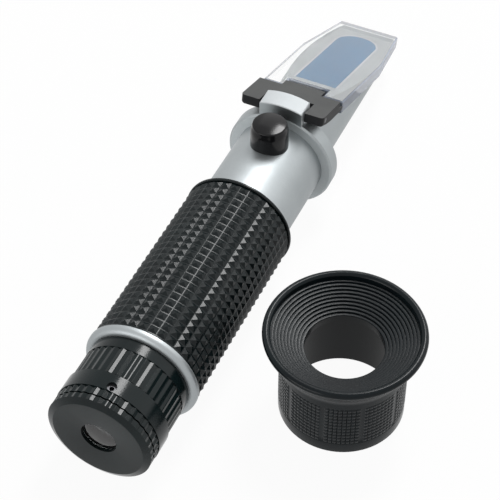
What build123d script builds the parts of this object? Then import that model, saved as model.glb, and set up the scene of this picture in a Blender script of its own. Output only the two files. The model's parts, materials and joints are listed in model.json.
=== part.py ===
from build123d import *
import math
import os

os.makedirs("parts", exist_ok=True)

# Handheld brix refractometer, in millimetres, lying on its flange with the eyepiece towards -Y.
# Stations run along the optical axis from the eyepiece face, heights are taken from that axis.

# Eyepiece and focus ring
cap_length = 2.4
cap_bevel_width = 1.7
cap_bevel = 0.85
cap_dish = 0.5
cap_skirt = 0.8
groove_width = 0.4
band_length = 6.9
band_wall = 4.0
lens_hole_radius = 4.7
ring_step = 0.4
rib_length = 7.7
collar_length = 3.2
flute_count = 40
flute_depth = 0.3
flute_turn = 7.4
nick_length = 2.1
nick_inset = 0.1
barrel_radius = 9.8
barrel_wall = 1.5
barrel_tail = 11.8
spigot_wall = 1.3
focus_web = 3.3
web_gap = 0.5
focus_travel = 3.0

# Lenses and reticle
lens_seat = 1.6
eye_lens_edge = 2.0
eye_lens_sag = 1.0
spacer_length = 9.6
field_lens_edge = 2.5
lens_stop_width = 1.1
retainer_length = 2.0
reticle_gap = 2.0
reticle_cell_length = 5.5
reticle_seat = 2.0
reticle_wall = 2.7
reticle_thickness = 1.6
reticle_ring_width = 1.3

# Body
end_ring_lip = 0.15
end_ring_width = 2.05
end_ring_round = 1.5
sleeve_wall = 1.35
tube_wall = 1.2
grip_length = 55.0
grip_thickness = 2.6
grip_teeth = 47
grip_tooth_height = 0.8
grip_lip = 0.9
tube_exposed = 26.0
clip_width = 0.8
clip_depth = 0.55
clip_reach = 0.5
clip_play = 0.3
key_radius = 0.75
key_depth = 0.7
baffle_station = 60.0
baffle_thickness = 1.5
baffle_opening = 5.5

# Prism head
flange_lip = 0.25
flange_length = 4.2
flange_chamfer = 0.5
head_radius = 10.75
head_length = 60.5
head_spigot_length = 4.0
head_spigot_wall = 1.6
light_bore = 5.4
window_start = 9.8
window_length = 37.9
window_half_width = 6.0
window_round = 5.6
prism_depth = 5.5
prism_slab = 2.2
prism_wedge_length = 20.0
sealant_width = 0.6

# Cover
cover_tilt = 18.0
cover_front = 15.25
cover_drop = 2.5
cover_thickness = 3.5
cover_length = 53.1
cover_front_half = 11.8
cover_widest_half = 12.15
cover_widest_at = 30.0
cover_tip_half = 9.1
cover_chamfer = 0.4
notch_depth = 4.4
film_gap = 0.15
saddle_half = 11.9
saddle_rise = 1.1
saddle_thickness = 3.3
saddle_length = 12.8
saddle_step = 2.6
saddle_round = 1.0
saddle_corner_round = 1.1
nose_clearance = 0.4
nose_drop = 0.75
tongue_half = 5.85
tongue_length = 1.8
tongue_rise = 0.5
ledge_drop = 1.2
block_half = 6.1
block_length = 5.6
block_stand = 4.15
block_lip_gap = 0.2
block_chamfer = 0.2
arm_gap = 0.5
pivot_station = 2.9
pivot_stand = 1.25
pin_radius = 0.8
screw_head_radius = 1.3
screw_head_height = 1.0
screw_shank_radius = 0.8
block_screw_spread = 3.5
block_screw_length = 4.0

# Calibration screw, objective lens and bimetal strip
cal_setback = 6.9
bush_radius = 2.6
bush_stand = 1.8
bush_head_room = 3.6
bush_boss_gap = 0.6
cal_head_radius = 1.8
cal_head_height = 1.5
cal_shank_radius = 1.2
cal_shank_lift = 1.05
cal_slot = 0.5
button_stand = 6.75
button_top_radius = 4.6
button_shoulder_radius = 5.0
button_base_radius = 5.1
button_shoulder = 1.9
button_round = 0.45
button_dish = 0.35
button_rim = 0.7
button_seat = 0.15
cell_radius = 6.2
cell_length = 6.4
cell_boss_half = 2.2
cell_boss_height = 7.6
cell_cheek = 4.0
objective_radius = 4.2
objective_edge = 2.6
objective_sag = 0.7
guide_thickness = 1.5
rail_width = 1.5
strip_half = 2.5
strip_thickness = 0.5
strip_gap = 0.9
strip_length = 28.0
strip_block_length = 6.0

# Grub screw in the smooth band
grub_radius = 1.25
grub_recess = 0.9
grub_socket = 0.65
grub_angle = 84.0

# Rubber eyecup, standing beside the body
cup_offset = 43.4
cup_station = 45.6
cup_height = 27.5
cup_wall = 1.75
cup_flare = 4.4
cup_rim_round = 1.0
cup_lip_depth = 0.4
cup_foot_height = 3.5
cup_foot_step = 0.2
cup_bead_height = 17.0
cup_bead_step = 0.35
cup_shoulder_height = 19.4
cup_shoulder_step = 0.8
cup_ledge = 4.0
cup_diaphragm_top = 21.4
cup_diaphragm = 1.8
cup_ribs = 10
cup_rib_height = 0.35

# Fits
fit_gap = 0.05
turn_gap = 0.15
slide_gap = 0.1

# Radii worked out from the barrel outwards
barrel_bore = barrel_radius - barrel_wall
eyepiece_radius = barrel_radius + band_wall
focus_radius = eyepiece_radius - ring_step
slide_bore = barrel_radius + fit_gap
spigot_radius = slide_bore + spigot_wall
tube_bore = slide_bore + sleeve_wall
tube_radius = tube_bore + tube_wall
grip_radius = tube_radius + grip_thickness
end_ring_radius = grip_radius + end_ring_lip
flange_radius = grip_radius + flange_lip
cup_bore = eyepiece_radius + fit_gap
cup_barrel_radius = cup_bore + cup_wall
cup_rim_radius = cup_barrel_radius + cup_flare

# Heights of the cover and its hinge over the axis
cover_height = flange_radius - cover_drop
block_radius = flange_radius + block_stand
block_lip = head_radius + block_lip_gap
pivot_height = flange_radius + pivot_stand

# Stations worked out from the lengths
band_front = cap_length + groove_width
band_back = band_front + band_length
ring_front = band_back + groove_width
ring_shoulder = ring_front + rib_length
ring_back = ring_shoulder + collar_length
end_front = ring_back + turn_gap
grip_front = end_front + end_ring_width
grip_back = grip_front + grip_length
flange_front = grip_back + tube_exposed
flange_back = flange_front + flange_length
head_tip = flange_back + head_length
barrel_back = ring_back + barrel_tail
sleeve_back = barrel_back + reticle_gap / 2
cover_start = flange_front + cover_front
tilt_cos = math.cos(math.radians(cover_tilt))
tilt_sin = math.sin(math.radians(cover_tilt))
cover_tip = cover_start + cover_length * tilt_cos
overall_length = max(head_tip, cover_tip)

# The origin is on the ground under the middle of the instrument and its eyecup
axis_x = (flange_radius - cup_offset - cup_rim_radius) / 2
axis_z = flange_radius
eye_y = -overall_length / 2
cup_x = axis_x + cup_offset
cup_y = eye_y + cup_station
optical_axis = Axis((axis_x, eye_y, axis_z), (0, 1, 0))


def side(offset=0.0):
    """Plane along the axis seen from the right: stations across, heights up."""
    return Plane(origin=(axis_x + offset, eye_y, axis_z), x_dir=(0, 1, 0), z_dir=(1, 0, 0))


def across(station):
    """Plane across the axis, facing the eye: width across, heights up."""
    return Plane(origin=(axis_x, eye_y + station, axis_z), x_dir=(1, 0, 0), z_dir=(0, -1, 0))


def above(height):
    """Level plane at a height over the axis: width across, stations up the page."""
    return Plane(origin=(axis_x, eye_y, axis_z + height), x_dir=(1, 0, 0), z_dir=(0, 0, 1))


def slope(rise):
    """Plane of the tilted cover, a rise above its upper face, measured from its front edge."""
    origin = (axis_x, eye_y + cover_start + rise * tilt_sin, axis_z + cover_height + rise * tilt_cos)
    return Plane(origin=origin, x_dir=(1, 0, 0), z_dir=(0, tilt_sin, tilt_cos))


def on_slope(reach, rise):
    """Station and height of a point on the slope."""
    station = cover_start + reach * tilt_cos + rise * tilt_sin
    return (station, cover_height - reach * tilt_sin + rise * tilt_cos)


def slope_height(station, rise):
    """Height of the slope, raised by a distance square to it, over a station."""
    return cover_height + rise / tilt_cos + (cover_start - station) * tilt_sin / tilt_cos


def lathe(points, mode=Mode.ADD):
    """Turn a closed outline of stations and radii about the optical axis."""
    with BuildSketch(side()) as outline:
        with BuildLine():
            Polyline(*points, close=True)
        make_face()
    revolve(outline.sketch, axis=optical_axis, mode=mode)


def ring(front, back, inner, outer, mode=Mode.ADD):
    """Plain ring about the optical axis."""
    lathe([(front, inner), (front, outer), (back, outer), (back, inner)], mode)


def rod(front, back, radius, mode=Mode.ADD):
    """Plain cylinder about the optical axis."""
    with BuildSketch(across(front)) as outline:
        Circle(radius)
    extrude(outline.sketch, amount=-(back - front), mode=mode)


def upright(station, bottom, top, radius, mode=Mode.ADD):
    """Vertical cylinder on the middle plane."""
    with BuildSketch(above(bottom)) as outline:
        with Locations((0, station)):
            Circle(radius)
    extrude(outline.sketch, amount=top - bottom, mode=mode)


def slab(half, front, back, bottom, top, mode=Mode.ADD):
    """Block that is symmetrical about the middle plane."""
    with BuildSketch(side(-half)) as outline:
        with BuildLine():
            Polyline((front, bottom), (front, top), (back, top), (back, bottom), close=True)
        make_face()
    extrude(outline.sketch, amount=2 * half, mode=mode)


def cheek(points, half, mode=Mode.ADD):
    """Side outline of stations and heights carried to both sides of the middle plane."""
    with BuildSketch(side(-half)) as outline:
        with BuildLine():
            Polyline(*points, close=True)
        make_face()
    extrude(outline.sketch, amount=2 * half, mode=mode)


def lens(front, back, rim, clear, sag):
    """Biconvex lens with a flat rim, equally curved on both faces."""
    curve = (clear * clear + sag * sag) / (2 * sag)
    half_turn = math.asin(clear / curve) / 2
    mid_sag = sag - curve * (1 - math.cos(half_turn))
    mid_radius = curve * math.sin(half_turn)
    with BuildSketch(side()) as outline:
        with BuildLine():
            ThreePointArc((front - sag, 0), (front - mid_sag, mid_radius), (front, clear))
            Polyline((front, clear), (front, rim), (back, rim), (back, clear))
            ThreePointArc((back, clear), (back + mid_sag, mid_radius), (back + sag, 0))
            Line((back + sag, 0), (front - sag, 0))
        make_face()
    revolve(outline.sketch, axis=optical_axis)


def fluted(front, back, outer):
    """Rod about the optical axis with V-shaped flutes all round."""
    points = []
    for corner in range(2 * flute_count):
        angle = math.radians(flute_turn) + corner * math.pi / flute_count
        radius = outer - flute_depth * (corner % 2)
        points.append((radius * math.cos(angle), radius * math.sin(angle)))
    with BuildSketch(across(front)) as outline:
        with BuildLine():
            Polyline(*points, close=True)
        make_face()
    extrude(outline.sketch, amount=-(back - front))


def save(part, name):
    part.label = name
    export_step(part, "parts/" + name + ".step")


# Main tube, with the hole for the calibration bush
cal_station = flange_front - cal_setback
with BuildPart() as main_tube:
    ring(grip_front, flange_front, tube_bore, tube_radius)
    upright(cal_station, 0, flange_radius, bush_radius, Mode.SUBTRACT)
save(main_tube.part, "main_tube")

# Rubber grip: lengthwise teeth between two smooth lips
with BuildPart() as rubber_grip:
    with BuildSketch(across(grip_front + grip_lip)) as tread:
        tooth_angle = math.pi / grip_teeth
        valley_radius = grip_radius - grip_tooth_height
        tread_points = []
        for tooth in range(grip_teeth):
            peak = 2 * tooth * tooth_angle
            valley = peak + tooth_angle
            tread_points.append((grip_radius * math.cos(peak), grip_radius * math.sin(peak)))
            tread_points.append((valley_radius * math.cos(valley), valley_radius * math.sin(valley)))
        with BuildLine():
            Polyline(*tread_points, close=True)
        make_face()
        Circle(tube_radius, mode=Mode.SUBTRACT)
    extrude(amount=-(grip_length - 2 * grip_lip))
    lip_radius = grip_radius - grip_tooth_height / 2
    ring(grip_front, grip_front + grip_lip, tube_radius, lip_radius)
    ring(grip_back - grip_lip, grip_back, tube_radius, lip_radius)
save(rubber_grip.part, "rubber_grip")

# End ring: shoulder for tube and grip, spigot for the focus ring, sleeve for the barrel
spigot_front = ring_front + focus_web + web_gap
clip_front = (spigot_front + end_front) / 2 - clip_width
clip_back = clip_front + clip_width
clip_inner = spigot_radius - clip_depth
key_station = sleeve_back - focus_travel - 2 * key_radius
with BuildPart() as end_ring:
    lathe([
        (spigot_front, slide_bore), (spigot_front, spigot_radius), (end_front, spigot_radius),
        (end_front, end_ring_radius), (grip_front, end_ring_radius), (grip_front, tube_bore),
        (sleeve_back, tube_bore), (sleeve_back, slide_bore),
    ])
    outer_rims = end_ring.edges().filter_by(GeomType.CIRCLE).group_by(SortBy.RADIUS)[-1]
    fillet(outer_rims.sort_by(Axis.Y)[0], radius=end_ring_round)
    ring(clip_front, clip_back, clip_inner, end_ring_radius, Mode.SUBTRACT)
    upright(key_station, -tube_radius, 0, key_radius, Mode.SUBTRACT)
save(end_ring.part, "end_ring")

# Key that keeps the barrel from turning
with BuildPart() as barrel_key:
    upright(key_station, -tube_bore, -(barrel_radius - key_depth), key_radius)
    rod(0, overall_length, tube_bore, Mode.INTERSECT)
save(barrel_key.part, "barrel_key")

# Clip that holds the focus ring on its spigot
clip_outer = spigot_radius + clip_reach
with BuildPart() as focus_clip:
    ring(clip_front, clip_back, clip_inner, clip_outer)
save(focus_clip.part, "focus_clip")

# Focus ring: fluted band and smooth collar
with BuildPart() as focus_ring:
    fluted(ring_front, ring_shoulder, focus_radius)
    rod(ring_shoulder, ring_back, focus_radius)
    rod(ring_front, ring_back, slide_bore, Mode.SUBTRACT)
    rod(ring_front + focus_web, ring_back, spigot_radius + fit_gap, Mode.SUBTRACT)
    ring(clip_front - clip_play, clip_back + clip_play, slide_bore, clip_outer + clip_play, Mode.SUBTRACT)
save(focus_ring.part, "focus_ring")

# Sliding eyepiece barrel with its keyway
with BuildPart() as eyepiece_barrel:
    ring(band_front, barrel_back, barrel_bore, barrel_radius)
    keyway_front = key_station - key_radius - slide_gap
    keyway_half = key_radius + slide_gap
    slab(keyway_half, keyway_front, barrel_back, -tube_radius, -(barrel_radius - key_depth - slide_gap),
         Mode.SUBTRACT)
save(eyepiece_barrel.part, "eyepiece_barrel")

# Smooth band clamped to the barrel by the grub screw, nicked all round at the front
band_middle = band_front + band_length / 2
grub_direction = (math.cos(math.radians(grub_angle)), 0, math.sin(math.radians(grub_angle)))
grub_origin = (
    axis_x + barrel_radius * grub_direction[0],
    eye_y + band_middle,
    axis_z + barrel_radius * grub_direction[2],
)
grub_plane = Plane(origin=grub_origin, x_dir=(0, 1, 0), z_dir=grub_direction)
nick_radius = eyepiece_radius - nick_inset
with BuildPart() as eyepiece_band:
    fluted(band_front, band_front + nick_length, nick_radius)
    rod(band_front + nick_length, band_back, eyepiece_radius)
    rod(band_front, band_back, barrel_radius, Mode.SUBTRACT)
    with BuildSketch(grub_plane):
        Circle(grub_radius)
    extrude(amount=2 * band_wall, mode=Mode.SUBTRACT)
save(eyepiece_band.part, "eyepiece_band")

with BuildPart() as grub_screw:
    with BuildSketch(grub_plane):
        Circle(grub_radius)
    extrude(amount=band_wall - grub_recess)
    socket_floor = grub_plane.offset((band_wall - grub_recess) / 2)
    with BuildSketch(socket_floor):
        RegularPolygon(grub_socket, 6)
    extrude(amount=band_wall, mode=Mode.SUBTRACT)
    rod(0, overall_length, barrel_radius, Mode.SUBTRACT)
save(grub_screw.part, "grub_screw")

# Front cap of the eyepiece, dished round the lens hole, its rim nicked like the band
cap_face_radius = nick_radius - cap_bevel_width
cap_hub_radius = eyepiece_radius - cap_skirt
stop_radius = barrel_bore - lens_stop_width
seat_station = band_front + lens_seat
with BuildPart() as eyepiece_cap:
    fluted(cap_bevel, cap_length, nick_radius)
    lathe([(0, 0), (0, cap_face_radius), (cap_bevel, nick_radius), (cap_bevel, 0)])
    rod(cap_length, band_front, cap_hub_radius)
    rod(band_front, seat_station, barrel_bore)
    lathe([
        (cap_dish, 0), (cap_dish, lens_hole_radius), (0, cap_face_radius - cap_dish), (0, 0),
    ], Mode.SUBTRACT)
    lathe([
        (0, 0), (0, lens_hole_radius), (cap_length, lens_hole_radius), (seat_station, stop_radius),
        (seat_station, 0),
    ], Mode.SUBTRACT)
save(eyepiece_cap.part, "eyepiece_cap")

# Eye lens, spacer, field lens and retainer stacked in the barrel
eye_lens_back = seat_station + eye_lens_edge
spacer_back = eye_lens_back + spacer_length
field_lens_back = spacer_back + field_lens_edge
lens_clear = stop_radius - slide_gap
with BuildPart() as eye_lens:
    lens(seat_station, eye_lens_back, barrel_bore, lens_clear, eye_lens_sag)
save(eye_lens.part, "eye_lens")

with BuildPart() as lens_spacer:
    ring(eye_lens_back, spacer_back, stop_radius, barrel_bore)
save(lens_spacer.part, "lens_spacer")

with BuildPart() as field_lens:
    lens(spacer_back, field_lens_back, barrel_bore, lens_clear, eye_lens_sag)
save(field_lens.part, "field_lens")

with BuildPart() as lens_retainer:
    ring(field_lens_back, field_lens_back + retainer_length, stop_radius, barrel_bore)
save(lens_retainer.part, "lens_retainer")

# Reticle in its cell behind the barrel
reticle_front = sleeve_back + reticle_gap
reticle_seat_station = reticle_front + reticle_seat
reticle_back = reticle_seat_station + reticle_thickness
reticle_radius = tube_bore - reticle_wall
reticle_opening = reticle_radius - reticle_ring_width
with BuildPart() as reticle_cell:
    ring(reticle_front, reticle_front + reticle_cell_length, reticle_opening, tube_bore)
    rod(reticle_seat_station, reticle_front + reticle_cell_length, reticle_radius, Mode.SUBTRACT)
save(reticle_cell.part, "reticle_cell")

with BuildPart() as reticle_disc:
    rod(reticle_seat_station, reticle_back, reticle_radius)
save(reticle_disc.part, "reticle_disc")

with BuildPart() as reticle_retainer:
    ring(reticle_back, reticle_front + reticle_cell_length, reticle_opening, reticle_radius)
save(reticle_retainer.part, "reticle_retainer")

# Blackened light baffle half way down the tube
with BuildPart() as light_baffle:
    ring(baffle_station, baffle_station + baffle_thickness, baffle_opening, tube_bore)
save(light_baffle.part, "light_baffle")

# Window outline on the slope: square near end, rounded far end
slope_rise = -cover_thickness - film_gap
window_end = window_start + window_length
prism_front = on_slope(window_start, slope_rise)[0]
prism_tail = on_slope(window_start + prism_wedge_length, slope_rise - prism_slab)


def pocket_body(margin):
    """Wedge prism seen from above and from the side, or the pocket a margin larger."""
    half = window_half_width + margin
    far = window_end + margin
    shoulder = far - window_round
    top = slope_rise + margin
    with BuildSketch(slope(slope_rise)) as plan:
        with BuildLine():
            Polyline((-half, shoulder), (-half, 0), (half, 0), (half, shoulder))
            ThreePointArc((half, shoulder), (0, far), (-half, shoulder))
        make_face()
    extrude(plan.sketch, amount=-2 * head_radius)
    deep = slope_rise - prism_slab - margin
    cheek([
        (prism_front, flange_radius),
        on_slope(far + flange_radius, flange_radius),
        on_slope(far + flange_radius, deep),
        (prism_tail[0], prism_tail[1] - margin),
        (prism_front, -prism_depth - margin),
    ], half, Mode.INTERSECT)


with BuildPart() as measuring_prism:
    pocket_body(0)
save(measuring_prism.part, "measuring_prism")

with BuildPart() as prism_pocket:
    pocket_body(sealant_width)

with BuildPart() as prism_sealant:
    add(prism_pocket.part)
    add(measuring_prism.part, mode=Mode.SUBTRACT)
save(prism_sealant.part, "prism_sealant")

# Hinge block, turned to a round top, seated on the flange and hooked behind it
block_back = flange_front + block_length
pivot = (flange_front + pivot_station, pivot_height)
block_screw_height = (block_lip + flange_radius) / 2
block_screw_points = [(-block_screw_spread, block_screw_height), (block_screw_spread, block_screw_height)]
with BuildPart() as block_screws:
    with BuildSketch(across(block_back)) as screw_heads:
        with Locations(*block_screw_points):
            Circle(screw_head_radius)
    extrude(amount=screw_head_height)
    with BuildSketch(across(block_back - screw_head_height)) as screw_shanks:
        with Locations(*block_screw_points):
            Circle(screw_shank_radius)
    extrude(amount=block_screw_length - screw_head_height)
save(block_screws.part, "block_screws")

with BuildPart() as hinge_block:
    slab(block_half, flange_front, block_back, block_lip, block_radius)
    rod(flange_front, block_back, block_radius, Mode.INTERSECT)
    rod(0, flange_back, flange_radius, Mode.SUBTRACT)
    chamfer(hinge_block.faces().sort_by(Axis.Z)[-1].edges(), length=block_chamfer)
    with BuildSketch(side(-block_half)) as pin_hole:
        with Locations(pivot):
            Circle(pin_radius)
    extrude(amount=2 * block_half, mode=Mode.SUBTRACT)
    add(block_screws.part, mode=Mode.SUBTRACT)
save(hinge_block.part, "hinge_block")

# Prism head: spigot, flange and oblique cylinder with the pocketed face
head_spigot_bore = tube_bore - head_spigot_wall
with BuildPart() as prism_head:
    rod(flange_front - head_spigot_length, flange_front, tube_bore)
    rod(flange_front, flange_back, flange_radius)
    front_rim = prism_head.edges().filter_by(GeomType.CIRCLE).group_by(SortBy.RADIUS)[-1].sort_by(Axis.Y)[0]
    chamfer(front_rim, length=flange_chamfer)
    rod(flange_back, head_tip, head_radius)
    cheek([
        (flange_back, slope_height(flange_back, slope_rise)),
        (flange_back, 2 * flange_radius),
        (overall_length + flange_radius, 2 * flange_radius),
        on_slope(cover_length + flange_radius, slope_rise),
    ], flange_radius, Mode.SUBTRACT)
    rod(flange_front - head_spigot_length, flange_front, head_spigot_bore, Mode.SUBTRACT)
    rod(flange_front - head_spigot_length, prism_front + slide_gap, light_bore, Mode.SUBTRACT)
    add(prism_pocket.part, mode=Mode.SUBTRACT)
    add(block_screws.part, mode=Mode.SUBTRACT)
save(prism_head.part, "prism_head")

# Dark hinge saddle: two arms astride the block, a bridge behind it and a stepped tongue
saddle_bottom = saddle_rise - saddle_thickness
saddle_back = -saddle_step
saddle_front = saddle_back - saddle_length
nose_reach = pivot_station - nose_clearance
nose_low = (pivot[0] - nose_reach, pivot[1] - nose_drop)
belly = on_slope(saddle_front + nose_reach, saddle_bottom)
arm_inner = block_half + arm_gap
corner_distance = math.hypot(block_back - pivot[0], block_radius - pivot[1])
pivot_reach = (pivot[0] - cover_start) * tilt_cos - (pivot[1] - cover_height) * tilt_sin
notch_back = pivot_reach + corner_distance + 2 * turn_gap
with BuildPart() as hinge_saddle:
    cheek([
        on_slope(saddle_front, saddle_rise), on_slope(saddle_back, saddle_rise),
        on_slope(saddle_back, -ledge_drop), on_slope(0, -ledge_drop), on_slope(0, saddle_bottom),
        belly, nose_low,
    ], saddle_half)
    nose_corners = hinge_saddle.edges().filter_by(Axis.X, reverse=True).group_by(Axis.Y)[0]
    fillet(nose_corners, radius=saddle_corner_round)
    nose_top = hinge_saddle.edges().group_by(Axis.Y)[0].sort_by(Axis.Z)[-1]
    fillet(nose_top, radius=saddle_round)
    cheek([
        on_slope(saddle_back, saddle_bottom), on_slope(saddle_back, tongue_rise),
        on_slope(tongue_length, tongue_rise), on_slope(tongue_length, saddle_bottom),
    ], tongue_half)
    cheek([
        on_slope(notch_back, saddle_bottom - flange_radius), on_slope(notch_back, flange_radius),
        (0, 2 * flange_radius), (0, 0),
    ], arm_inner, Mode.SUBTRACT)
    with BuildSketch(side(-saddle_half)) as arm_holes:
        with Locations(pivot):
            Circle(pin_radius + fit_gap)
    extrude(amount=2 * saddle_half, mode=Mode.SUBTRACT)
save(hinge_saddle.part, "hinge_saddle")

# Hinge pin, pressed in the block, the arms turn on it
with BuildPart() as hinge_pin:
    with BuildSketch(side(-saddle_half)) as pin_section:
        with Locations(pivot):
            Circle(pin_radius)
    extrude(amount=2 * saddle_half)
save(hinge_pin.part, "hinge_pin")

# Clear cover plate, tapered to its tip, notched for the tongue
with BuildPart() as cover_plate:
    with BuildSketch(slope(-cover_thickness)) as plate_outline:
        with BuildLine():
            Polyline(
                (-cover_front_half, 0), (cover_front_half, 0), (cover_widest_half, cover_widest_at),
                (cover_tip_half, cover_length), (-cover_tip_half, cover_length),
                (-cover_widest_half, cover_widest_at), close=True,
            )
        make_face()
        with Locations((0, notch_depth / 2)):
            Rectangle(2 * tongue_half, notch_depth, mode=Mode.SUBTRACT)
    extrude(amount=cover_thickness)
    top_edges = cover_plate.faces().sort_by(Axis((0, 0, 0), (0, tilt_sin, tilt_cos)))[-1].edges()
    chamfer(top_edges, length=cover_chamfer)
save(cover_plate.part, "cover_plate")

# Calibration bush, pressed through the tube wall
bush_top = tube_radius + bush_stand
bush_shelf = bush_top - bush_head_room
bush_bottom = cell_boss_height + bush_boss_gap
with BuildPart() as calibration_bush:
    upright(cal_station, bush_bottom, bush_top, bush_radius)
    upright(cal_station, bush_shelf, bush_top, cal_head_radius + fit_gap, Mode.SUBTRACT)
    upright(cal_station, bush_bottom, bush_shelf, cal_shank_radius + fit_gap, Mode.SUBTRACT)
save(calibration_bush.part, "calibration_bush")

# Captive calibration screw with a screwdriver slot
cal_head_bottom = bush_shelf + fit_gap
cal_head_top = cal_head_bottom + cal_head_height
with BuildPart() as calibration_screw:
    upright(cal_station, objective_radius + cal_shank_lift, cal_head_bottom, cal_shank_radius)
    upright(cal_station, cal_head_bottom, cal_head_top, cal_head_radius)
    slab(cal_head_radius, cal_station - cal_slot / 2, cal_station + cal_slot / 2,
         cal_head_top - cal_head_height / 2, cal_head_top, Mode.SUBTRACT)
save(calibration_screw.part, "calibration_screw")

# Rubber cap over the calibration screw, seated on the round of the tube
button_top = tube_radius + button_stand
with BuildPart() as calibration_cap:
    with BuildSketch(Plane(origin=(axis_x, eye_y + cal_station, axis_z), x_dir=(1, 0, 0),
                           z_dir=(0, -1, 0))) as button:
        with BuildLine():
            Polyline(
                (0, 0), (button_base_radius, 0), (button_base_radius, tube_radius),
                (button_shoulder_radius, button_top - button_shoulder), (button_top_radius, button_top),
                (button_top_radius - button_rim, button_top), (0, button_top - button_dish), close=True,
            )
        make_face()
    revolve(axis=Axis((axis_x, eye_y + cal_station, axis_z), (0, 0, 1)))
    top_rim = calibration_cap.edges().filter_by(GeomType.CIRCLE).filter_by(
        lambda edge: abs(edge.radius - button_top_radius) < slide_gap)
    fillet(top_rim, radius=button_round)
    rod(0, overall_length, tube_radius + slide_gap, Mode.SUBTRACT)
    upright(cal_station, 0, bush_top + button_seat, bush_radius + fit_gap, Mode.SUBTRACT)
save(calibration_cap.part, "calibration_cap")

# Lens guide: a wall across the tube with two rails for the lens cell
cell_front = cal_station - cell_length + cell_boss_half
cell_back = cell_front + cell_length
guide_back = cell_front - slide_gap / 2
strip_height = cell_radius + strip_gap
strip_low = -strip_height - strip_thickness
with BuildPart() as lens_guide:
    rod(guide_back - guide_thickness, guide_back, tube_bore)
    with BuildSketch(across(guide_back)) as rails:
        for hand in (-1, 1):
            with Locations((hand * (cell_radius + slide_gap + rail_width / 2), 0)):
                Rectangle(rail_width, 2 * cell_cheek)
    extrude(amount=-cell_length)
    rod(guide_back - guide_thickness, guide_back, objective_radius, Mode.SUBTRACT)
    slab(strip_half + slide_gap, guide_back - guide_thickness, guide_back, strip_low - slide_gap,
         -strip_height + slide_gap, Mode.SUBTRACT)
save(lens_guide.part, "lens_guide")

# Lens cell, threaded on the calibration screw, slides up and down on the guide
with BuildPart() as lens_cell:
    rod(cell_front, cell_back, cell_radius)
    slab(cell_radius, cell_front, cell_back, -cell_cheek, cell_cheek)
    slab(cell_boss_half, cell_back - 2 * cell_boss_half, cell_back, 0, cell_boss_height)
    rod(cell_front, cell_back, objective_radius, Mode.SUBTRACT)
    upright(cal_station, objective_radius + fit_gap, flange_radius, cal_shank_radius + fit_gap, Mode.SUBTRACT)
save(lens_cell.part, "lens_cell")

objective_front = cell_front + (cell_length - objective_edge) / 2
with BuildPart() as objective_lens:
    lens(objective_front, objective_front + objective_edge, objective_radius,
         objective_radius - slide_gap, objective_sag)
save(objective_lens.part, "objective_lens")

# Bimetal strip under the lens cell, screwed to a block on the tube wall
strip_front = cell_back - strip_length
strip_screw_station = strip_front + strip_block_length / 2
with BuildPart() as strip_screw:
    upright(strip_screw_station, -tube_bore + screw_shank_radius, -strip_height, screw_shank_radius)
    upright(strip_screw_station, -strip_height, -strip_height + screw_head_height, screw_head_radius)
save(strip_screw.part, "strip_screw")

with BuildPart() as bimetal_strip:
    slab(strip_half, strip_front, cell_back, strip_low, -strip_height)
    add(strip_screw.part, mode=Mode.SUBTRACT)
save(bimetal_strip.part, "bimetal_strip")

with BuildPart() as strip_block:
    slab(strip_half, strip_front, strip_front + strip_block_length, -tube_radius, strip_low)
    rod(0, overall_length, tube_bore, Mode.INTERSECT)
    add(strip_screw.part, mode=Mode.SUBTRACT)
save(strip_block.part, "strip_block")

# Rubber eyecup: barrel for the eyepiece, diaphragm, ribbed funnel and rolled rim
cup_foot_radius = cup_barrel_radius + cup_foot_step
cup_bead_radius = cup_barrel_radius + cup_bead_step
cup_shoulder_radius = cup_barrel_radius + cup_shoulder_step
cup_hole_radius = cup_bore - cup_ledge
rim_middle = cup_rim_radius - cup_rim_round
rim_level = cup_height - cup_rim_round
funnel_outer = rim_middle - cup_rim_round
funnel_top = rim_level - cup_lip_depth
rib_pitch = (funnel_outer - cup_hole_radius) / cup_ribs
rib_drop = (funnel_top - cup_diaphragm_top) / cup_ribs
funnel_points = []
for rib in range(cup_ribs):
    rib_radius = funnel_outer - rib * rib_pitch
    rib_level = funnel_top - rib * rib_drop
    funnel_points.append((rib_radius, rib_level))
    funnel_points.append((rib_radius - rib_pitch / 2, rib_level - rib_drop / 2 + cup_rib_height))


def on_rim(angle):
    """Point on the round of the rim, at an angle from straight out."""
    turn = math.radians(angle)
    return (rim_middle + cup_rim_round * math.cos(turn), rim_level + cup_rim_round * math.sin(turn))


with BuildPart() as eyecup:
    with BuildSketch(Plane(origin=(cup_x, cup_y, 0), x_dir=(1, 0, 0), z_dir=(0, -1, 0))) as cup_profile:
        with BuildLine():
            Polyline(
                (cup_bore, 0), (cup_foot_radius, 0), (cup_foot_radius, cup_foot_height),
                (cup_barrel_radius, cup_foot_height), (cup_barrel_radius, cup_bead_height),
                (cup_bead_radius, cup_bead_height), (cup_bead_radius, cup_shoulder_height),
                (cup_shoulder_radius, cup_shoulder_height), (cup_shoulder_radius, cup_diaphragm_top),
                on_rim(-60),
            )
            ThreePointArc(on_rim(-60), on_rim(0), on_rim(60))
            ThreePointArc(on_rim(60), on_rim(120), on_rim(180))
            Polyline(
                on_rim(180), *funnel_points, (cup_hole_radius, cup_diaphragm_top),
                (cup_hole_radius, cup_diaphragm_top - cup_diaphragm),
                (cup_bore, cup_diaphragm_top - cup_diaphragm), (cup_bore, 0),
            )
        make_face()
    revolve(axis=Axis((cup_x, cup_y, 0), (0, 0, 1)))
save(eyecup.part, "eyecup")

print("overall length", round(overall_length, 2), "axis x", round(axis_x, 2), "eye y", round(eye_y, 2))
print("pivot", round(eye_y + pivot[0], 3), round(axis_z + pivot[1], 3))
print("calibration screw y", round(eye_y + cal_station, 3), "cup", round(cup_x, 3), round(cup_y, 3))
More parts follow.
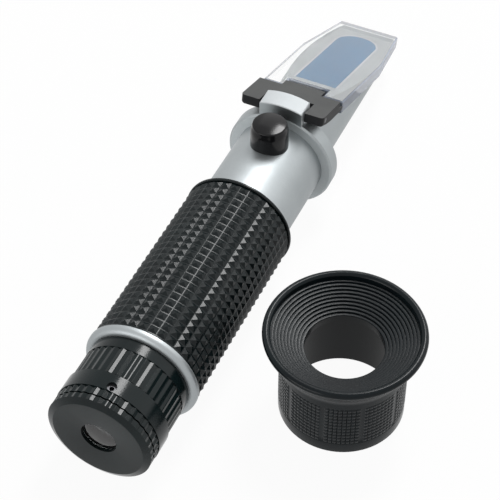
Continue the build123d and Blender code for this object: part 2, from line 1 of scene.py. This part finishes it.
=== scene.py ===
import json
import math
import bpy
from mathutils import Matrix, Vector


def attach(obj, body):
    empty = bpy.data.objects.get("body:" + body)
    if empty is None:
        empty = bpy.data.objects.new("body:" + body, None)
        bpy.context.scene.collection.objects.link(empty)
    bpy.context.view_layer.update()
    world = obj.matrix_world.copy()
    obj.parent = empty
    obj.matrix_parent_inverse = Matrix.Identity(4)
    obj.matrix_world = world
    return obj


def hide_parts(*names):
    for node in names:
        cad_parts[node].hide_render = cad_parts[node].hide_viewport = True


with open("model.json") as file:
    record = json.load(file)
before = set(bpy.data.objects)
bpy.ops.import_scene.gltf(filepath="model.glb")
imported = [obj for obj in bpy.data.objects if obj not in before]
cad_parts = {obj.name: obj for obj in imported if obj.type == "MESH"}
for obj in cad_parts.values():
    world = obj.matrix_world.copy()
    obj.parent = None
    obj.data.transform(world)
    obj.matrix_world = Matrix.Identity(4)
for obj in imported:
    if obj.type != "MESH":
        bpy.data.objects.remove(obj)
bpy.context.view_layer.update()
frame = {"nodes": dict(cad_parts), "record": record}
node = frame["nodes"]

# The optical axis and the stations along it, in metres, as in the part's source
AXIS_X = -0.024075
AXIS_Z = 0.01525
EYE_Y = -0.084975
EYE_FACE = (AXIS_X, EYE_Y, AXIS_Z)
ALONG = (0, 1, 0)
UP = (0, 0, 1)

# Places are in metres, and the sizes and stations of the new pieces are in millimetres
MM = 0.001

# Points nearer to each other than this are one point, and faces that bend less than this are one face
SEAM = 0.000002
FLAT_ENOUGH = math.radians(1.0)

# Sides of a circle that has to look round
ROUND_SIDES = 96

# Directions of the sloping cover plate: square to it, and from its hinge to its tip
COVER_TILT = math.radians(18.0)
PLATE_UP = Vector((0, math.sin(COVER_TILT), math.cos(COVER_TILT)))
PLATE_REACH = Vector((0, math.cos(COVER_TILT), -math.sin(COVER_TILT)))


def station(distance):
    """Y of a station, given in millimetres from the eyepiece face."""
    return EYE_Y + distance * MM


# Finishes

def finish(name, dark, light, roughness, metallic=0.0, grain=900.0, mottling=60.0, bump=0.0,
           specular=0.5, roughness_spread=0.06):
    """Solid finish: two tones mottled by noise, uneven roughness and a fine bump."""
    material = bpy.data.materials.new(name)
    material.use_nodes = True
    nodes = material.node_tree.nodes
    links = material.node_tree.links
    shader = nodes["Principled BSDF"]
    shader.inputs["Metallic"].default_value = metallic
    shader.inputs["Specular IOR Level"].default_value = specular

    place = nodes.new("ShaderNodeTexCoord")
    mottle = nodes.new("ShaderNodeTexNoise")
    mottle.inputs["Scale"].default_value = mottling
    mottle.inputs["Detail"].default_value = 6.0
    mottle.inputs["Roughness"].default_value = 0.65
    links.new(place.outputs["Object"], mottle.inputs["Vector"])
    tones = nodes.new("ShaderNodeValToRGB")
    tones.color_ramp.elements[0].position = 0.32
    tones.color_ramp.elements[0].color = (*dark, 1.0)
    tones.color_ramp.elements[1].position = 0.68
    tones.color_ramp.elements[1].color = (*light, 1.0)
    links.new(mottle.outputs["Fac"], tones.inputs["Fac"])
    links.new(tones.outputs["Color"], shader.inputs["Base Color"])

    fine = nodes.new("ShaderNodeTexNoise")
    fine.inputs["Scale"].default_value = grain
    fine.inputs["Detail"].default_value = 4.0
    links.new(place.outputs["Object"], fine.inputs["Vector"])
    spread = nodes.new("ShaderNodeMapRange")
    spread.inputs["To Min"].default_value = roughness - roughness_spread
    spread.inputs["To Max"].default_value = roughness + roughness_spread
    links.new(fine.outputs["Fac"], spread.inputs["Value"])
    links.new(spread.outputs["Result"], shader.inputs["Roughness"])

    if bump:
        relief = nodes.new("ShaderNodeTexNoise")
        relief.inputs["Scale"].default_value = grain
        relief.inputs["Detail"].default_value = 3.0
        links.new(place.outputs["Object"], relief.inputs["Vector"])
        raised = nodes.new("ShaderNodeBump")
        raised.inputs["Strength"].default_value = 0.5
        raised.inputs["Distance"].default_value = bump
        links.new(relief.outputs["Fac"], raised.inputs["Height"])
        links.new(raised.outputs["Normal"], shader.inputs["Normal"])
    return material


def clear(name, tint, ior, roughness):
    """Clear finish, with faint handling marks in its roughness."""
    material = bpy.data.materials.new(name)
    material.use_nodes = True
    nodes = material.node_tree.nodes
    links = material.node_tree.links
    shader = nodes["Principled BSDF"]
    shader.inputs["Base Color"].default_value = (*tint, 1.0)
    shader.inputs["Transmission Weight"].default_value = 1.0
    shader.inputs["IOR"].default_value = ior
    place = nodes.new("ShaderNodeTexCoord")
    marks = nodes.new("ShaderNodeTexNoise")
    marks.inputs["Scale"].default_value = 300.0
    marks.inputs["Detail"].default_value = 5.0
    links.new(place.outputs["Object"], marks.inputs["Vector"])
    spread = nodes.new("ShaderNodeMapRange")
    spread.inputs["To Min"].default_value = 0.0
    spread.inputs["To Max"].default_value = roughness
    links.new(marks.outputs["Fac"], spread.inputs["Value"])
    links.new(spread.outputs["Result"], shader.inputs["Roughness"])
    return material


def make_partly_clear(material, socket, value):
    """Make a solid finish partly clear, by its Alpha or its Transmission Weight."""
    material.node_tree.nodes["Principled BSDF"].inputs[socket].default_value = value


SATIN_SILVER = finish("satin_silver_anodising", (0.34, 0.365, 0.375), (0.39, 0.415, 0.425), 0.5,
                      metallic=1.0, grain=3500.0, bump=0.00003)
BRIGHT_SILVER = finish("bright_machined_silver", (0.46, 0.48, 0.49), (0.52, 0.54, 0.55), 0.78, metallic=1.0,
                       grain=4000.0, bump=0.00002)
MILLED_SILVER = finish("milled_silver_face", (0.42, 0.45, 0.46), (0.48, 0.51, 0.52), 0.4, metallic=1.0,
                       grain=4000.0)
# Turned faces towards the eyepiece: a rougher finish, and a lighter tone that is painted light on faces
# turned from the lamps
TURNED_SILVER_PAINTED_LIGHT = finish("turned_silver_face_painted_light", (0.50, 0.53, 0.54), (0.58, 0.61, 0.62), 0.8, metallic=1.0,
                       grain=4000.0, bump=0.00002)
GRIP_RUBBER = finish("moulded_grip_rubber", (0.003, 0.006, 0.007), (0.006, 0.011, 0.012), 0.26,
                     grain=3000.0, bump=0.00004, specular=0.21)
CUP_RUBBER = finish("soft_cup_rubber", (0.003, 0.005, 0.007), (0.005, 0.010, 0.012), 0.24, grain=3000.0,
                    bump=0.00002, specular=0.16)
CAP_RUBBER = finish("glossy_cap_rubber", (0.005, 0.005, 0.006), (0.009, 0.009, 0.010), 0.17, grain=2500.0,
                    bump=0.00001, specular=0.22)
BLACK_PLASTIC = finish("moulded_black_plastic", (0.003, 0.007, 0.008), (0.006, 0.013, 0.014), 0.15,
                       grain=3500.0, bump=0.00002, specular=0.2)
SADDLE_PLASTIC = finish("matt_dark_plastic", (0.058, 0.060, 0.060), (0.074, 0.076, 0.076), 0.5,
                        grain=4000.0, bump=0.00006, specular=0.2)
# Saddle's sides and underside: the same plastic, smoother, with a darker tone that is painted shade
SHADED_SMOOTH_PLASTIC = finish("smooth_plastic_painted_shade", (0.026, 0.027, 0.029), (0.034, 0.035, 0.037), 0.45,
                        grain=4000.0, bump=0.00003, specular=0.06)
CLEAR_PLASTIC = clear("clear_acrylic", (0.98, 0.98, 0.98), 1.49, 0.04)
# The lavender tone on the clear cover plate's rim is painted reflection of light carried through the
# acrylic; the front edge is ground, rougher and bumpy as well
PLATE_EDGE_PAINTED_REFLECTION = finish("acrylic_edge_painted_reflection", (0.38, 0.43, 0.53), (0.46, 0.51, 0.61), 0.2)
make_partly_clear(PLATE_EDGE_PAINTED_REFLECTION, "Alpha", 0.6)
GROUND_EDGE_PAINTED_REFLECTION = finish("ground_acrylic_edge_painted_reflection", (0.40, 0.45, 0.55), (0.48, 0.53, 0.62), 0.4, bump=0.00002)
make_partly_clear(GROUND_EDGE_PAINTED_REFLECTION, "Alpha", 0.8)
BLUE_GLASS = finish("blue_prism_glass", (0.006, 0.15, 0.33), (0.015, 0.185, 0.39), 0.1, mottling=90.0,
                    specular=0.12, roughness_spread=0.03)
make_partly_clear(BLUE_GLASS, "Transmission Weight", 0.25)
LENS_GLASS = clear("lens_glass", (0.90, 0.95, 0.95), 1.55, 0.2)
SEALANT = finish("pale_sealant", (0.42, 0.42, 0.44), (0.48, 0.48, 0.50), 0.6, bump=0.00003)
BLACK_METAL = finish("blackened_metal", (0.010, 0.010, 0.010), (0.018, 0.018, 0.018), 0.5)
STEEL = finish("blued_steel", (0.07, 0.07, 0.075), (0.11, 0.11, 0.115), 0.4, metallic=1.0)
BRASS = finish("turned_brass", (0.60, 0.45, 0.20), (0.68, 0.52, 0.25), 0.32, metallic=1.0)

FINISH_OF_SLOT = {
    "satin_silver": SATIN_SILVER, "bright_silver": BRIGHT_SILVER, "grip_rubber": GRIP_RUBBER,
    "cup_rubber": CUP_RUBBER, "cap_rubber": CAP_RUBBER, "black_plastic": BLACK_PLASTIC,
    "saddle_plastic": SADDLE_PLASTIC, "clear_plastic": CLEAR_PLASTIC, "blue_glass": BLUE_GLASS,
    "lens_glass": LENS_GLASS, "sealant": SEALANT, "black_metal": BLACK_METAL, "steel": STEEL, "brass": BRASS,
}
slot_of = {subpart["node"]: subpart["material_slot"] for subpart in frame["record"]["subparts"]}
body_of = {}
for body, members in frame["record"]["behaviour"]["bodies"].items():
    for member in members:
        body_of[member] = body
for name, slot in slot_of.items():
    node[name].data.materials.clear()
    node[name].data.materials.append(FINISH_OF_SLOT[slot])


# Modelling steps

def deselect():
    """Leave edit mode and select nothing."""
    if bpy.context.object and bpy.context.object.mode != "OBJECT":
        bpy.ops.object.mode_set(mode="OBJECT")
    bpy.ops.object.select_all(action="DESELECT")


def edit(piece):
    """Open a piece in edit mode with all its faces selected."""
    deselect()
    bpy.context.view_layer.objects.active = piece
    piece.select_set(True)
    bpy.ops.object.mode_set(mode="EDIT")
    bpy.ops.mesh.select_mode(type="FACE")
    bpy.ops.mesh.select_all(action="SELECT")


def pick_faces(piece, wanted):
    """Select only the faces whose middle and normal pass a test, and stay in edit mode."""
    edit(piece)
    bpy.ops.mesh.select_all(action="DESELECT")
    bpy.ops.object.mode_set(mode="OBJECT")
    for face in piece.data.polygons:
        face.select = wanted(face.center, face.normal)
    bpy.ops.object.mode_set(mode="EDIT")


def settle(piece, name, of_node, smooth=35.0):
    """Close seams, turn the faces out, freeze the place in the mesh, and stand in for a CAD node."""
    edit(piece)
    bpy.ops.mesh.remove_doubles(threshold=SEAM)
    bpy.ops.mesh.normals_make_consistent(inside=False)
    bpy.ops.object.mode_set(mode="OBJECT")
    bpy.ops.object.transform_apply(location=True, rotation=True, scale=True)
    bpy.ops.object.shade_smooth_by_angle(angle=math.radians(smooth))
    flat_areas = piece.modifiers.new("flat_areas", "WEIGHTED_NORMAL")
    flat_areas.weight = 100
    flat_areas.keep_sharp = True
    bpy.ops.object.modifier_apply(modifier=flat_areas.name)
    piece.name = name
    piece.data.name = name
    piece.data.materials.clear()
    piece.data.materials.append(FINISH_OF_SLOT[slot_of[of_node]])
    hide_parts(of_node)
    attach(piece, body_of[of_node])
    return piece


def apply_bevel(piece, width, steps, angle):
    """Round the edges that are sharper than an angle. The width is in millimetres."""
    deselect()
    bpy.context.view_layer.objects.active = piece
    piece.select_set(True)
    rounding = piece.modifiers.new("rounding", "BEVEL")
    rounding.width = width * MM
    rounding.segments = steps
    rounding.limit_method = "ANGLE"
    rounding.angle_limit = math.radians(angle)
    bpy.ops.object.modifier_apply(modifier=rounding.name)


def pull_rings(profile, foot, along, sides, phase=0.0):
    """Pull a circle ring by ring along an axis. The profile holds distances and radii in millimetres."""
    deselect()
    axis = Vector(along)
    spread = Vector((1, 1, 1)) - axis
    turn = (0, 0, phase) if axis.z else (-math.pi / 2, phase, 0)
    first, first_radius = profile[0]
    start = Vector(foot) + axis * first * MM
    bpy.ops.mesh.primitive_circle_add(vertices=sides, radius=first_radius * MM, location=start,
                                      rotation=turn)
    piece = bpy.context.object
    bpy.ops.object.mode_set(mode="EDIT")
    bpy.ops.mesh.select_all(action="SELECT")
    for (last, last_radius), (here, radius) in zip(profile, profile[1:]):
        bpy.ops.mesh.extrude_edges_move(TRANSFORM_OT_translate={"value": axis * (here - last) * MM})
        if radius != last_radius:
            grow = radius / last_radius
            middle = Vector(foot) + axis * here * MM
            bpy.ops.transform.resize(value=axis + spread * grow, center_override=middle)
    bpy.ops.object.mode_set(mode="OBJECT")
    return piece


def close_ends(piece):
    """Fill the small circles that are left open at the poles."""
    edit(piece)
    bpy.ops.mesh.fill_holes(sides=0)
    bpy.ops.object.mode_set(mode="OBJECT")


def give_finish(piece, material, wanted):
    """Give a second finish to the faces that pass a test."""
    piece.data.materials.append(material)
    pick_faces(piece, wanted)
    piece.active_material_index = len(piece.data.materials) - 1
    bpy.ops.object.material_slot_assign()
    bpy.ops.object.mode_set(mode="OBJECT")


# What counts as a crest or valley of a flute: its least length and distance from the axis, in metres,
# the share of its length that runs along the axis, and how much it bends
CREST_LENGTH = 0.001
CREST_ALONG = 0.99
FLUTE_FLOOR = 0.0125
LEAST_BEND = math.radians(12)
GREATEST_BEND = math.radians(50)


def flatten_crests(piece, width):
    """Cut a narrow flat along each crest and valley of the flutes."""
    edit(piece)
    bpy.ops.mesh.select_mode(type="EDGE")
    bpy.ops.mesh.select_all(action="DESELECT")
    bpy.ops.object.mode_set(mode="OBJECT")
    normals_at = {}
    for face in piece.data.polygons:
        for key in face.edge_keys:
            normals_at.setdefault(key, []).append(face.normal)
    for edge in piece.data.edges:
        first, second = (piece.data.vertices[index].co for index in edge.vertices)
        run = second - first
        meeting = normals_at.get(edge.key, [])
        edge.select = (
            run.length > CREST_LENGTH and abs(run.y) > CREST_ALONG * run.length and len(meeting) == 2
            and math.hypot(first.x - AXIS_X, first.z - AXIS_Z) > FLUTE_FLOOR
            and LEAST_BEND < meeting[0].angle(meeting[1]) < GREATEST_BEND
        )
    bpy.ops.object.mode_set(mode="EDIT")
    bpy.ops.mesh.bevel(offset=width * MM, segments=1, affect="EDGES", clamp_overlap=False)
    bpy.ops.object.mode_set(mode="OBJECT")


def dressed(name, of_node, width, steps=2, angle=30.0, smooth=35.0, crests=0.0):
    """Copy of a CAD node with its seams merged and its sharp edges eased."""
    deselect()
    source = node[of_node]
    piece = source.copy()
    piece.data = source.data.copy()
    piece.parent = None
    for key in list(piece.keys()):
        del piece[key]
    bpy.context.scene.collection.objects.link(piece)
    edit(piece)
    bpy.ops.mesh.customdata_custom_splitnormals_clear()
    bpy.ops.mesh.remove_doubles(threshold=SEAM)
    bpy.ops.mesh.dissolve_limited(angle_limit=FLAT_ENOUGH)
    bpy.ops.object.mode_set(mode="OBJECT")
    if crests:
        flatten_crests(piece, crests)
    apply_bevel(piece, width, steps, angle)
    return settle(piece, name, of_node, smooth)


def join(pieces):
    """Make one piece of several."""
    deselect()
    for piece in pieces:
        piece.select_set(True)
    bpy.context.view_layer.objects.active = pieces[0]
    bpy.ops.object.join()
    return pieces[0]


# Rubber grip, with a pyramid in each cell and a plain lip at each end

GRIP_FRONT = 23.2
GRIP_LENGTH = 55.0
GRIP_RADIUS = 15.0
GRIP_TOOTH = 0.58
GRIP_VALLEY = 0.13
GRIP_COLUMNS = 36
GRIP_ROWS = 23
GRIP_TURN = 4.8
GRIP_LIP = 0.9
GRIP_LIP_EDGE = 0.25
FRONT_LIP_RADIUS = GRIP_RADIUS - 0.07
BACK_LIP_RADIUS = GRIP_RADIUS + 0.03
LIP_SIDES = 141
TUBE_RADIUS = 12.4
TUBE_GAP = 0.01

# A tooth rises by more than its height, since its cell is a flat that lies a little inside the round
GRIP_TOOTH_RISE = 1.05

valley = GRIP_RADIUS - GRIP_TOOTH
tread_start = GRIP_FRONT + GRIP_LIP
tread_step = (GRIP_LENGTH - 2 * GRIP_LIP) / GRIP_ROWS
tread = [(tread_start + row * tread_step, valley) for row in range(GRIP_ROWS + 1)]
grip = pull_rings(tread, EYE_FACE, ALONG, GRIP_COLUMNS, math.radians(GRIP_TURN))
edit(grip)
bpy.ops.mesh.normals_make_consistent(inside=False)
bpy.ops.mesh.inset(thickness=GRIP_VALLEY * MM, use_individual=True, use_boundary=True)
bpy.ops.mesh.poke(offset=GRIP_TOOTH * MM * GRIP_TOOTH_RISE)
bpy.ops.object.mode_set(mode="OBJECT")


def grip_lip(start, radius):
    """Plain ring with eased edges, from a station of the grip onwards."""
    end = start + GRIP_LIP
    inner = TUBE_RADIUS + TUBE_GAP
    return pull_rings([
        (start, inner), (start, radius - GRIP_LIP_EDGE), (start + GRIP_LIP_EDGE, radius),
        (end - GRIP_LIP_EDGE, radius), (end, radius - GRIP_LIP_EDGE), (end, inner), (start, inner),
    ], EYE_FACE, ALONG, LIP_SIDES)


front_lip = grip_lip(GRIP_FRONT, FRONT_LIP_RADIUS)
back_lip = grip_lip(GRIP_FRONT + GRIP_LENGTH - GRIP_LIP, BACK_LIP_RADIUS)
settle(join([grip, front_lip, back_lip]), "knurled_grip", "rubber_grip", smooth=25.0)


# Rubber eyecup: barrel with panels of dashes, rolled rim, and stepped rings down to its eye hole

CUP_FOOT = (0.019325, -0.039375, 0.0)
CUP_BORE = 13.85
CUP_BARREL = 15.6
CUP_FOOT_RADIUS = CUP_BARREL + 0.2
CUP_BEAD_RADIUS = CUP_BARREL + 0.35
CUP_SHOULDER_RADIUS = CUP_BARREL + 0.8
CUP_RIM = 20.0
CUP_ROUND = 1.0
CUP_HEIGHT = 27.5
CUP_BEAD_BOTTOM = 17.0
CUP_BEAD_TOP = 19.2
CUP_SHOULDER_TOP = 21.2
CUP_HOLE = 9.85
CUP_LEDGE = 21.4
CUP_LEDGE_DEPTH = 1.8
CUP_CELLS = 90
CUP_TURN = 1.85
RIB_COUNT = 10
RIB_EDGE = 0.1

# Heights of the slopes from one radius of the barrel to the next, and of that from the rim to its funnel
CUP_FOOT_SLOPE = 0.25
CUP_BEAD_SLOPE = 0.15
CUP_STEP_SLOPE = 0.2
CUP_FUNNEL_SLOPE = 0.4

# Cells from one smooth strip of the barrel to the next, cells in a strip, and the first strip in degrees
PANEL_CELLS = 9
STRIP_CELLS = 1
FIRST_STRIP = -54.0
DASH_BOTTOM = 3.5
DASH_ROWS = 11
DASH_STEP = 1.22
DASH_GAP = 0.16
DASH_HEIGHT = 0.2
DASH_EDGE = 0.08
DASH_CROWN = 0.04


def arc(middle, radius, start, end, steps):
    """Points on an arc as heights and radii, angles from straight out, in degrees."""
    points = []
    for step in range(steps + 1):
        angle = math.radians(start + (end - start) * step / steps)
        points.append((middle[0] + radius * math.sin(angle), middle[1] + radius * math.cos(angle)))
    return points


rim_middle = (CUP_HEIGHT - CUP_ROUND, CUP_RIM - CUP_ROUND)
funnel_out = (CUP_HEIGHT - CUP_ROUND - CUP_FUNNEL_SLOPE, CUP_RIM - 2 * CUP_ROUND)
cup_profile = [(0.0, CUP_BORE), (0.0, CUP_BARREL), (CUP_FOOT_SLOPE, CUP_FOOT_RADIUS)]
cup_profile += [(DASH_BOTTOM - CUP_STEP_SLOPE, CUP_FOOT_RADIUS), (DASH_BOTTOM, CUP_BARREL)]
cup_profile += [(DASH_BOTTOM + DASH_STEP * row, CUP_BARREL) for row in range(1, DASH_ROWS + 1)]
cup_profile += [(CUP_BEAD_BOTTOM, CUP_BARREL), (CUP_BEAD_BOTTOM + CUP_BEAD_SLOPE, CUP_BEAD_RADIUS)]
cup_profile += [(CUP_BEAD_TOP, CUP_BEAD_RADIUS), (CUP_BEAD_TOP + CUP_STEP_SLOPE, CUP_SHOULDER_RADIUS)]
cup_profile += [(CUP_SHOULDER_TOP, CUP_SHOULDER_RADIUS)]
cup_profile += arc(rim_middle, CUP_ROUND, start=-60, end=180, steps=12)
rib_width = (funnel_out[1] - CUP_HOLE) / RIB_COUNT
rib_drop = (funnel_out[0] - CUP_LEDGE) / RIB_COUNT
for rib in range(RIB_COUNT):
    rib_top = funnel_out[0] - rib_drop * (rib + 0.5)
    rib_inner = funnel_out[1] - rib_width * (rib + 1)
    cup_profile += [(rib_top, rib_inner + rib_width), (rib_top, rib_inner + RIB_EDGE)]
    cup_profile += [(rib_top - RIB_EDGE, rib_inner)]
ledge_bottom = CUP_LEDGE - CUP_LEDGE_DEPTH
cup_profile += [(CUP_LEDGE, CUP_HOLE), (ledge_bottom, CUP_HOLE), (ledge_bottom, CUP_BORE)]
cup_profile += [(0.0, CUP_BORE)]
cup = pull_rings(cup_profile, CUP_FOOT, UP, CUP_CELLS, math.radians(CUP_TURN))


def on_dash(middle, normal):
    """True for the cells of the barrel that carry a dash."""
    outside = math.hypot(middle.x, middle.y) / MM > (CUP_BORE + CUP_BARREL) / 2
    in_rows = DASH_BOTTOM < middle.z / MM < DASH_BOTTOM + DASH_STEP * DASH_ROWS
    past_strip = (math.degrees(math.atan2(middle.y, middle.x)) - FIRST_STRIP) % 360
    cell = int(past_strip / (360 / CUP_CELLS))
    return outside and in_rows and cell % PANEL_CELLS >= STRIP_CELLS


edit(cup)
bpy.ops.mesh.remove_doubles(threshold=SEAM)
bpy.ops.mesh.normals_make_consistent(inside=False)
pick_faces(cup, on_dash)
bpy.ops.mesh.inset(thickness=DASH_GAP * MM, use_individual=True)
bpy.ops.transform.shrink_fatten(value=DASH_HEIGHT * MM)
bpy.ops.mesh.inset(thickness=DASH_EDGE * MM, use_individual=True, depth=DASH_CROWN * MM)
bpy.ops.object.mode_set(mode="OBJECT")
settle(cup, "ribbed_eyecup", "eyecup", smooth=50.0)


# Copies of CAD nodes with eased edges, the width of each in millimetres

for name, of_node in (("fluted_focus_ring", "focus_ring"), ("smooth_band", "eyepiece_band"),
                      ("eyepiece_front", "eyepiece_cap")):
    dressed(name, of_node, width=0.05, angle=40.0, smooth=12.0, crests=0.13)
dressed("satin_end_ring", "end_ring", width=0.15, steps=3)
block = dressed("bright_hinge_block", "hinge_block", width=0.2, steps=3)
saddle = dressed("moulded_saddle", "hinge_saddle", width=0.25, steps=3)
dressed("pressed_pin", "hinge_pin", width=0.2)
housing = dressed("prism_housing", "prism_head", width=0.12)
plate = dressed("clear_cover", "cover_plate", width=0.1, steps=3)

# A face looks along a direction when its normal has this share of it
SQUARE_ON = 0.9
TOP_OF_SADDLE = 0.6


def on_front(middle, normal):
    """True for faces that look towards the eyepiece."""
    return normal.y < -SQUARE_ON


def off_top_of_saddle(middle, normal):
    """True for the saddle's sides and underside."""
    return normal.dot(PLATE_UP) < TOP_OF_SADDLE


def on_rim_of_plate(middle, normal):
    """True for faces across the cover plate's thickness."""
    return abs(normal.dot(PLATE_UP)) < SQUARE_ON


def on_front_of_plate(middle, normal):
    """True for the faces of that rim that look towards the hinge."""
    return normal.dot(PLATE_REACH) < -SQUARE_ON


give_finish(block, MILLED_SILVER, on_front)
# The housing's front faces get a rougher, lighter copy of its silver; the lighter tone is painted light
give_finish(housing, TURNED_SILVER_PAINTED_LIGHT, on_front)
# The saddle's sides and underside get a darker copy of its plastic, as painted shade
give_finish(saddle, SHADED_SMOOTH_PLASTIC, off_top_of_saddle)
# The plate's rim and front edge get half-clear lavender finishes, as painted reflection
give_finish(plate, PLATE_EDGE_PAINTED_REFLECTION, on_rim_of_plate)
give_finish(plate, GROUND_EDGE_PAINTED_REFLECTION, on_front_of_plate)


# Rubber cap of the calibration screw, softly domed

BUTTON_STATION = 97.3
BUTTON_SEAT = 9.0
BUTTON_TOP = TUBE_RADIUS + 6.5
BUTTON_FOOT_RADIUS = 4.9
BUTTON_WALL_RADIUS = 5.1
BUTTON_TOP_RADIUS = 4.6
BUTTON_LEAD_IN = 1.0
BUTTON_EDGE = 0.45
BUTTON_DOME = 0.5
BUTTON_SHARES = (0.86, 0.72, 0.55, 0.38, 0.2, 0.06)

# The wall's bend towards the top, as depths below the top and radii
BUTTON_BEND = ((5.5, BUTTON_WALL_RADIUS), (3.5, 5.08), (2.2, 5.04), (1.6, 4.94), (1.0, 4.76))

button_foot = (AXIS_X, station(BUTTON_STATION), AXIS_Z)
dome_radius = BUTTON_TOP_RADIUS - BUTTON_EDGE
button_profile = [(BUTTON_SEAT, BUTTON_FOOT_RADIUS), (BUTTON_SEAT + BUTTON_LEAD_IN, BUTTON_WALL_RADIUS)]
button_profile += [(BUTTON_TOP - depth, radius) for depth, radius in BUTTON_BEND]
button_profile += arc((BUTTON_TOP - BUTTON_EDGE, dome_radius), BUTTON_EDGE, start=0, end=80, steps=8)
for share in BUTTON_SHARES:
    button_profile.append((BUTTON_TOP + BUTTON_DOME * (1 - share ** 2), dome_radius * share))
button = pull_rings(button_profile, button_foot, UP, ROUND_SIDES)
close_ends(button)
settle(button, "domed_screw_cover", "calibration_cap", smooth=60.0)


# Eye lens, bulging towards its hole

LENS_FRONT = 1.4
LENS_FRONT_RADIUS = 4.68
LENS_FRONT_DEPTH = 1.0
LENS_SEAT = 4.4
LENS_EDGE = 2.0
LENS_RADIUS = 8.3
LENS_CLEAR = 7.1
LENS_BULGE = 0.4
LENS_BACK_BULGE = 1.0
LENS_SHARES = (0.03, 0.12, 0.25, 0.4, 0.55, 0.7, 0.85, 1.0)

lens_back = LENS_SEAT + LENS_EDGE
lens_profile = []
for share in LENS_SHARES:
    lens_profile.append((LENS_FRONT - LENS_BULGE * (1 - share ** 2), LENS_FRONT_RADIUS * share))
lens_profile += [(LENS_FRONT + LENS_FRONT_DEPTH, LENS_FRONT_RADIUS), (LENS_SEAT, LENS_CLEAR)]
lens_profile += [(LENS_SEAT, LENS_RADIUS), (lens_back, LENS_RADIUS)]
for share in reversed(LENS_SHARES):
    lens_profile.append((lens_back + LENS_BACK_BULGE * (1 - share ** 2), LENS_CLEAR * share))
eye_lens = pull_rings(lens_profile, EYE_FACE, ALONG, ROUND_SIDES)
close_ends(eye_lens)
settle(eye_lens, "bulging_eye_lens", "eye_lens", smooth=20.0)


# Floor, light and camera

WHITE = (1.0, 1.0, 1.0, 1.0)
PAPER = (0.9, 0.9, 0.9, 1.0)
PAPER_GLOW = 0.95
FLOOR_SIZE = 6.0
SKY_LIGHT = 0.22
SKY_SEEN = 1.0


def seen_directly(nodes, links):
    """One for rays from the camera, from reflections and through clear pieces, and zero for light."""
    path = nodes.new("ShaderNodeLightPath")
    either = path.outputs["Is Camera Ray"]
    for ray in ("Is Glossy Ray", "Is Transmission Ray"):
        larger = nodes.new("ShaderNodeMath")
        larger.operation = "MAXIMUM"
        links.new(either, larger.inputs[0])
        links.new(path.outputs[ray], larger.inputs[1])
        either = larger.outputs[0]
    return either


deselect()
bpy.ops.mesh.primitive_plane_add(size=FLOOR_SIZE, location=(0, 0, 0))
floor = bpy.context.object
floor.name = "floor"
paper = bpy.data.materials.new("white_paper_sweep")
paper.use_nodes = True
paper_nodes = paper.node_tree.nodes
paper_links = paper.node_tree.links
paper_nodes.clear()
paper_out = paper_nodes.new("ShaderNodeOutputMaterial")
paper_diffuse = paper_nodes.new("ShaderNodeBsdfDiffuse")
paper_diffuse.inputs["Color"].default_value = PAPER
paper_white = paper_nodes.new("ShaderNodeEmission")
paper_white.inputs["Color"].default_value = WHITE
paper_white.inputs["Strength"].default_value = 1.0
paper_mix = paper_nodes.new("ShaderNodeMixShader")
seen = seen_directly(paper_nodes, paper_links)
paper_share = paper_nodes.new("ShaderNodeMath")
paper_share.operation = "MULTIPLY"
paper_share.inputs[1].default_value = PAPER_GLOW
paper_links.new(seen, paper_share.inputs[0])
paper_links.new(paper_share.outputs[0], paper_mix.inputs["Fac"])
paper_links.new(paper_diffuse.outputs["BSDF"], paper_mix.inputs[1])
paper_links.new(paper_white.outputs["Emission"], paper_mix.inputs[2])
paper_links.new(paper_mix.outputs["Shader"], paper_out.inputs["Surface"])
floor.data.materials.append(paper)

world = bpy.data.worlds.new("white_studio")
bpy.context.scene.world = world
world.use_nodes = True
world_nodes = world.node_tree.nodes
world_links = world.node_tree.links
sky = world_nodes["Background"]
sky.inputs["Color"].default_value = WHITE
sky_seen = seen_directly(world_nodes, world_links)
sky_strength = world_nodes.new("ShaderNodeMapRange")
sky_strength.inputs["To Min"].default_value = SKY_LIGHT
sky_strength.inputs["To Max"].default_value = SKY_SEEN
world_links.new(sky_seen, sky_strength.inputs["Value"])
world_links.new(sky_strength.outputs["Result"], sky.inputs["Strength"])


def softbox(name, direction, distance, size, power):
    """Area lamp that faces the object from a direction, in metres and watts."""
    data = bpy.data.lights.new(name, "AREA")
    data.shape = "RECTANGLE"
    data.size, data.size_y = size
    data.energy = power
    lamp = bpy.data.objects.new(name, data)
    bpy.context.scene.collection.objects.link(lamp)
    towards = Vector(direction).normalized()
    lamp.location = towards * distance
    lamp.rotation_euler = towards.to_track_quat("Z", "Y").to_euler()


softbox("main_softbox", (0.02, 0.53, 0.84), distance=1.2, size=(0.30, 0.50), power=9.5)
softbox("wide_ceiling", (0.25, 0.75, 0.62), distance=1.6, size=(3.0, 1.5), power=9.0)
softbox("front_fill", (-0.35, -0.85, 0.25), distance=1.2, size=(0.8, 0.5), power=4.0)

# Place, aim and lens of the camera, as solved from the round stations of the tube
CAMERA_PLACE = (0.10717, -0.28326, 0.33468)
CAMERA_AIM = Vector((-0.015607, -0.018172, 0.019157))
CAMERA_LENS = 121.02
SENSOR_WIDTH = 36.0

camera_data = bpy.data.cameras.new("studio_camera")
camera_data.sensor_width = SENSOR_WIDTH
camera_data.lens = CAMERA_LENS
camera = bpy.data.objects.new("studio_camera", camera_data)
bpy.context.scene.collection.objects.link(camera)
camera.location = CAMERA_PLACE
camera.rotation_euler = (CAMERA_AIM - camera.location).to_track_quat("-Z", "Y").to_euler()
bpy.context.scene.camera = camera
bpy.context.scene.view_settings.view_transform = "Standard"
